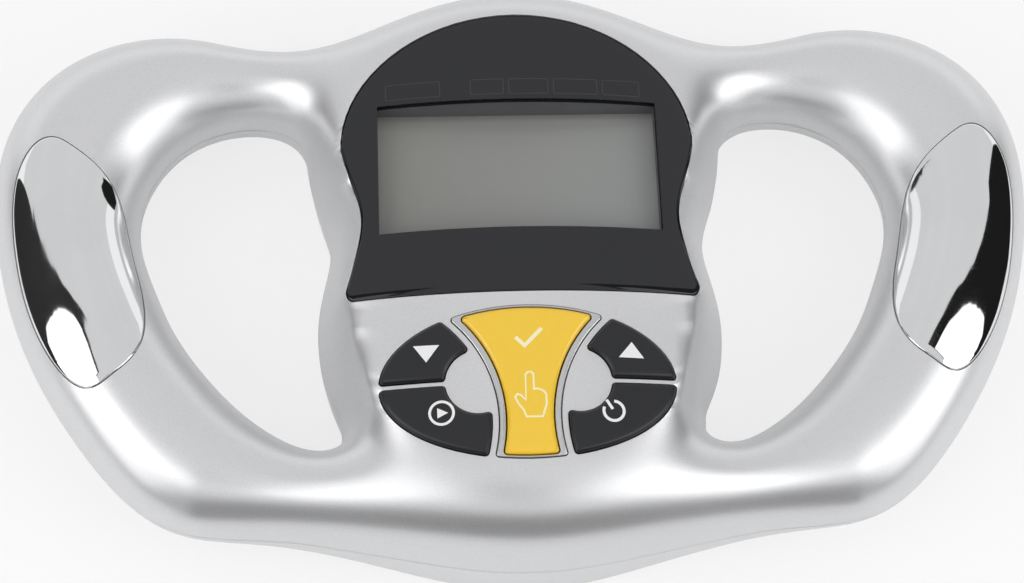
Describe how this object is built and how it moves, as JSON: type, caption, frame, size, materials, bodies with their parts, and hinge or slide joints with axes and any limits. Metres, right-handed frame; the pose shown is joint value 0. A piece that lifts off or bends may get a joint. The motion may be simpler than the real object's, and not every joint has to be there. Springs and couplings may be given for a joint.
{
  "type": "handheld body fat analyzer",
  "caption": "Handheld body fat analyzer: a display pod with pressable keys between two looped handles that carry metal electrode plates, with a hinged battery door in its flat back.",
  "frame": {"origin": "middle of the flat back, at the surface it rests on", "axes": "+X across the handles to the right hand, +Y towards the top of the display, +Z out of the display"},
  "size_m": [0.2062, 0.12, 0.038],
  "materials": {
    "silver_paint": "satin silver metallic paint",
    "dark_lens": "glossy dark print under clear plastic",
    "black_plastic": "matte",
    "display_glass": "grey-green display",
    "rubber_strip": "soft",
    "board": "solder mask",
    "silicone": "soft silicone",
    "dark_key": "satin near-black",
    "yellow_key": "glossy yellow",
    "chrome_plate": "mirror polish",
    "wire": "insulation",
    "cell_wrap": "plain wrap",
    "spring_steel": "plated",
    "screw_steel": "zinc"
  },
  "bodies": {
    "housing": {"front_shell": "silver_paint", "rear_shell": "silver_paint", "display_lens": "dark_lens", "lcd_frame": "black_plastic", "lcd_glass": "display_glass", "zebra_strips": "rubber_strip", "main_board": "board", "chip_cover": "black_plastic", "key_mat": "silicone", "down_dome": "silicone", "up_dome": "silicone", "start_dome": "silicone", "power_dome": "silicone", "set_dome": "silicone", "set_key_bezel": "silver_paint", "left_front_electrode": "chrome_plate", "right_front_electrode": "chrome_plate", "left_rear_electrode": "chrome_plate", "right_rear_electrode": "chrome_plate", "electrode_leads": "wire", "battery_cell_a": "cell_wrap", "battery_cell_b": "cell_wrap", "battery_springs": "spring_steel", "battery_plates": "spring_steel", "battery_leads": "wire", "shell_screws": "screw_steel", "board_screws": "screw_steel"},
    "down_key": {"down_key": "dark_key"},
    "up_key": {"up_key": "dark_key"},
    "start_key": {"start_key": "dark_key"},
    "power_key": {"power_key": "dark_key"},
    "set_key": {"set_key": "yellow_key"},
    "battery_door": {"battery_door": "silver_paint"}
  },
  "joints": [
    {"name": "down_key_press", "type": "slide", "parent": "housing", "child": "down_key", "axis": [0, 0, -1], "range_m": [0, 0.0008], "stiffness_N_per_m": 1200, "deforming": ["down_dome"]},
    {"name": "up_key_press", "type": "slide", "parent": "housing", "child": "up_key", "axis": [0, 0, -1], "range_m": [0, 0.0008], "stiffness_N_per_m": 1200, "deforming": ["up_dome"]},
    {"name": "start_key_press", "type": "slide", "parent": "housing", "child": "start_key", "axis": [0, 0, -1], "range_m": [0, 0.0008], "stiffness_N_per_m": 1200, "deforming": ["start_dome"]},
    {"name": "power_key_press", "type": "slide", "parent": "housing", "child": "power_key", "axis": [0, 0, -1], "range_m": [0, 0.0008], "stiffness_N_per_m": 1200, "deforming": ["power_dome"]},
    {"name": "set_key_press", "type": "slide", "parent": "housing", "child": "set_key", "axis": [0, 0, -1], "range_m": [0, 0.0008], "stiffness_N_per_m": 1200, "deforming": ["set_dome"]},
    {"name": "battery_door_hinge", "type": "hinge", "parent": "housing", "child": "battery_door", "pos_m": [0, 0.0204, 0.0011], "axis": [1, 0, 0], "range_deg": [0, 75]}
  ]
}
